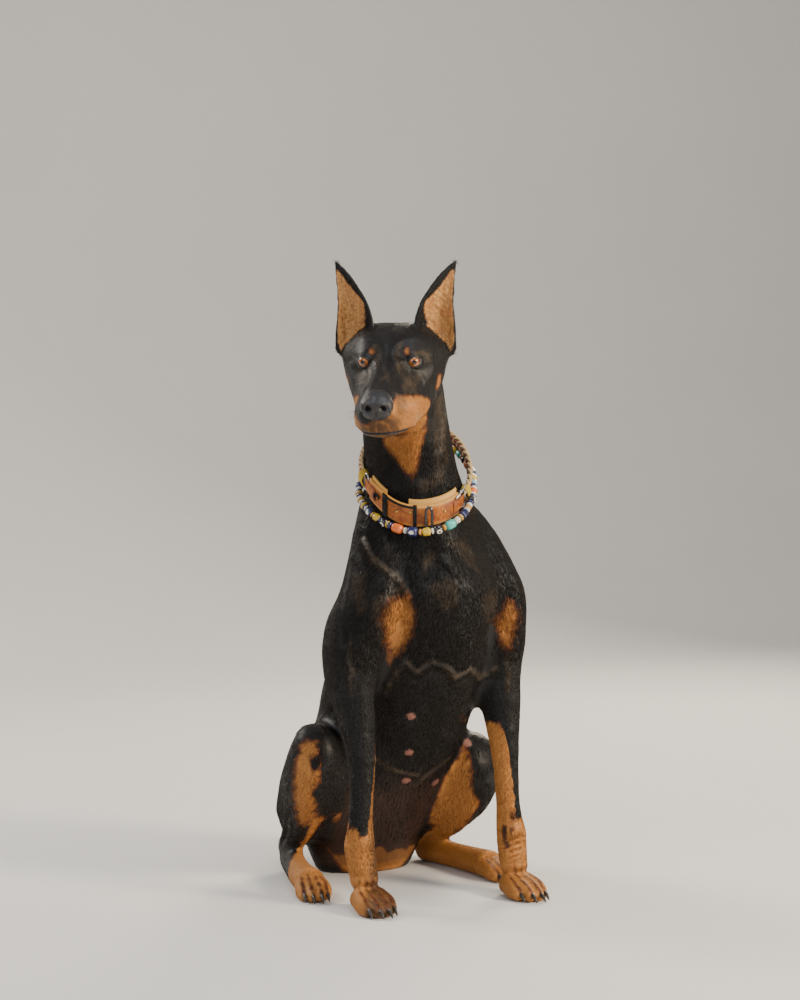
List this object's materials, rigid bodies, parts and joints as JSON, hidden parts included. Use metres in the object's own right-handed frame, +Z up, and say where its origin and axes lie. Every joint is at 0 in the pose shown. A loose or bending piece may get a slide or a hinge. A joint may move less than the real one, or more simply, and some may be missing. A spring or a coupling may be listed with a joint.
{
  "type": "seated doberman pinscher",
  "caption": "Life-size still model of a seated black and rust Doberman pinscher bitch, ears cropped, head turned to her right, in a leather and braid collar with a string of beads.",
  "frame": {"origin": "centre of the underside of the box, on the floor she sits on", "axes": "+Z up, the longest extent. She faces -Y, and her left side is +X, the shortest extent."},
  "size_m": [0.3504, 0.5504, 0.8963],
  "materials": {
    "coat": "short, close, glossy hair, black with rust marks on brows, muzzle, throat, chest and legs",
    "nose": "moist black nose leather with a fine pebbled grain",
    "eye": "wet amber iris round a dark pupil",
    "skin": "bare skin of lips, eyelids, ear hollows and teats",
    "claw": "dark horn, slightly glossy",
    "leather": "orange brown tooled strap leather, worn lighter along the edges",
    "dark_metal": "blackened metal, rubbed bright at the edges",
    "steel": "bright steel wire",
    "brass": "small polished rivets",
    "braid": "plait of maroon, pink and cream cotton cord",
    "beads": "glossy glass and clay beads in navy, yellow, orange, turquoise, black and white"
  },
  "bodies": {
    "root": {"head": "coat", "nose": "nose", "eye_left": "eye", "eye_right": "eye", "ear_left": "coat", "ear_right": "coat", "torso": "coat", "neck": "coat", "foreleg_left": "coat", "foreleg_right": "coat", "forepaw_left": "coat", "forepaw_right": "coat", "hindleg_left": "coat", "hindleg_right": "coat", "hindfoot_left": "coat", "hindfoot_right": "coat", "tail": "coat", "collar_leather": "leather", "collar_keeper_side": "dark_metal", "collar_keeper_front": "dark_metal", "collar_dring": "steel", "collar_ring_right": "steel", "collar_ring_left": "steel", "collar_braid": "braid", "collar_beads": "beads"}
  },
  "joints": []
}
